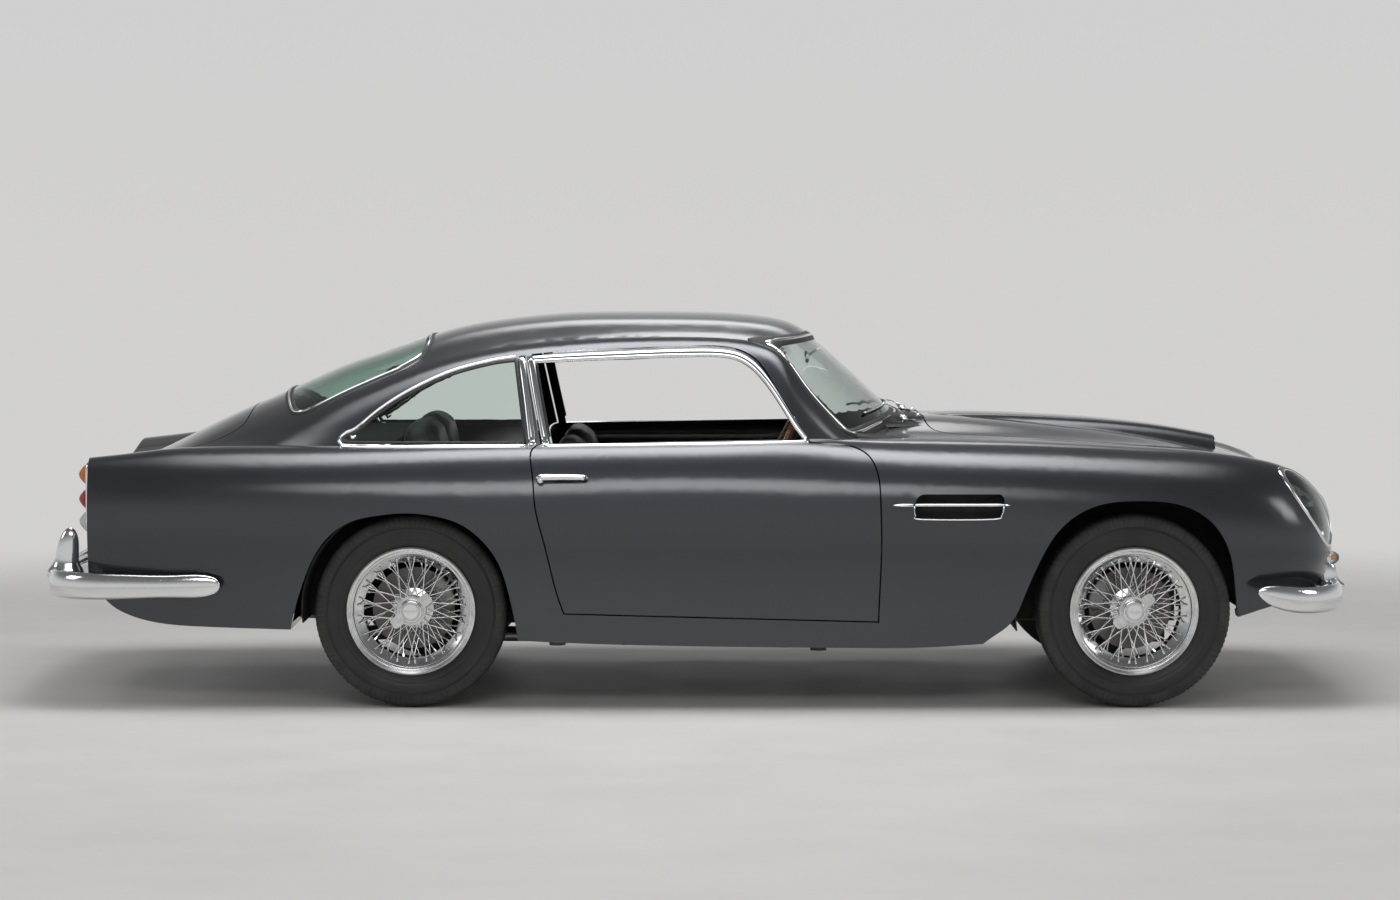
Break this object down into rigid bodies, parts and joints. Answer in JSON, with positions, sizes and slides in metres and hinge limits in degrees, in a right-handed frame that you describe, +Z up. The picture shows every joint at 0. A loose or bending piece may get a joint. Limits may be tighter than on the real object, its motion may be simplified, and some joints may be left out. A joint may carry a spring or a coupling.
{
  "type": "coupe car",
  "caption": "Two-door fastback coupe with opening doors, front-hinged bonnet, boot lid, steered wire wheels and a hollow four-seat cabin.",
  "frame": {"origin": "on the ground under the middle of the overall length", "axes": "+X towards the nose, +Y to the car's left side, +Z up"},
  "size_m": [4.5869, 1.6772, 1.3509],
  "materials": {
    "body_paint": "metallic gloss",
    "glass": "clear, faint green",
    "underbody_paint": "satin black",
    "cast_metal": "painted",
    "disc_iron": "turned",
    "exhaust_steel": "satin",
    "chrome_trim": "polished",
    "lamp_silver": "polished reflector behind clear glass",
    "lamp_red": "clear tinted",
    "lamp_clear": "clear",
    "seat_leather": "satin black",
    "dash_trim": "satin black",
    "column_black": "satin black",
    "rim_wood": "varnished",
    "tyre_rubber": "matt"
  },
  "bodies": {
    "body": {"sills": "body_paint", "front_body": "body_paint", "rear_body": "body_paint", "roof": "body_paint", "windscreen": "glass", "rear_window": "glass", "quarter_windows": "glass", "floor_pan": "underbody_paint", "front_wheelhouses": "underbody_paint", "rear_wheelhouses": "underbody_paint", "engine_block": "cast_metal", "exhaust": "exhaust_steel", "front_suspension": "cast_metal", "rear_axle": "cast_metal", "front_bumper": "chrome_trim", "rear_bumper": "chrome_trim", "grille": "chrome_trim", "headlamps": "lamp_silver", "headlamp_covers": "glass", "tail_lamps": "lamp_red", "front_indicators": "lamp_clear", "front_seats": "seat_leather", "rear_seat": "seat_leather", "dashboard": "dash_trim", "steering_column": "column_black", "wipers": "chrome_trim", "jack_pads": "column_black"},
    "door_right": {"door_right": "body_paint", "door_trim_right": "seat_leather"},
    "door_left": {"door_left": "body_paint", "door_trim_left": "seat_leather"},
    "bonnet": {"bonnet": "body_paint"},
    "boot_lid": {"boot_lid": "body_paint"},
    "steering_wheel": {"steering_wheel": "rim_wood"},
    "knuckle_right": {"knuckle_right": "cast_metal"},
    "knuckle_left": {"knuckle_left": "cast_metal"},
    "road_wheel_front_right": {"tyre_front_right": "tyre_rubber", "wheel_front_right": "chrome_trim", "brake_disc_front_right": "disc_iron"},
    "road_wheel_front_left": {"tyre_front_left": "tyre_rubber", "wheel_front_left": "chrome_trim", "brake_disc_front_left": "disc_iron"},
    "road_wheel_rear_right": {"tyre_rear_right": "tyre_rubber", "wheel_rear_right": "chrome_trim", "brake_disc_rear_right": "disc_iron"},
    "road_wheel_rear_left": {"tyre_rear_left": "tyre_rubber", "wheel_rear_left": "chrome_trim", "brake_disc_rear_left": "disc_iron"}
  },
  "joints": [
    {"name": "door_right_hinge", "type": "hinge", "parent": "body", "child": "door_right", "pos_m": [0.6325, -0.842, 0.55], "axis": [0, 0, 1], "range_deg": [0, 65]},
    {"name": "door_left_hinge", "type": "hinge", "parent": "body", "child": "door_left", "pos_m": [0.6325, 0.842, 0.55], "axis": [0, 0, -1], "range_deg": [0, 65]},
    {"name": "bonnet_hinge", "type": "hinge", "parent": "body", "child": "bonnet", "pos_m": [2.0765, 0, 0.797], "axis": [0, 1, 0], "range_deg": [0, 50]},
    {"name": "boot_hinge", "type": "hinge", "parent": "body", "child": "boot_lid", "pos_m": [-1.5825, 0, 1.024], "axis": [0, 1, 0], "range_deg": [0, 60]},
    {"name": "steer_right", "type": "hinge", "parent": "body", "child": "knuckle_right", "pos_m": [1.506, -0.598, 0.334], "axis": [0, 0, 1], "range_deg": [-28, 28]},
    {"name": "steer_left", "type": "hinge", "parent": "body", "child": "knuckle_left", "pos_m": [1.506, 0.598, 0.334], "axis": [0, 0, 1], "range_deg": [-28, 28]},
    {"name": "steering_wheel_turn", "type": "hinge", "parent": "body", "child": "steering_wheel", "pos_m": [0.29, -0.36, 0.86], "axis": [-0.891, 0, 0.454], "range_deg": [-480, 480]},
    {"name": "wheel_front_right_spin", "type": "hinge", "parent": "knuckle_right", "child": "road_wheel_front_right", "pos_m": [1.506, -0.686, 0.334], "axis": [0, 1, 0], "continuous": true},
    {"name": "wheel_front_left_spin", "type": "hinge", "parent": "knuckle_left", "child": "road_wheel_front_left", "pos_m": [1.506, 0.686, 0.334], "axis": [0, 1, 0], "continuous": true},
    {"name": "wheel_rear_right_spin", "type": "hinge", "parent": "body", "child": "road_wheel_rear_right", "pos_m": [-0.983, -0.6795, 0.334], "axis": [0, 1, 0], "continuous": true},
    {"name": "wheel_rear_left_spin", "type": "hinge", "parent": "body", "child": "road_wheel_rear_left", "pos_m": [-0.983, 0.6795, 0.334], "axis": [0, 1, 0], "continuous": true}
  ],
  "couplings": [
    {"joint": "steer_left", "follows": "steer_right", "ratio": 1},
    {"joint": "steering_wheel_turn", "follows": "steer_right", "ratio": 17}
  ]
}
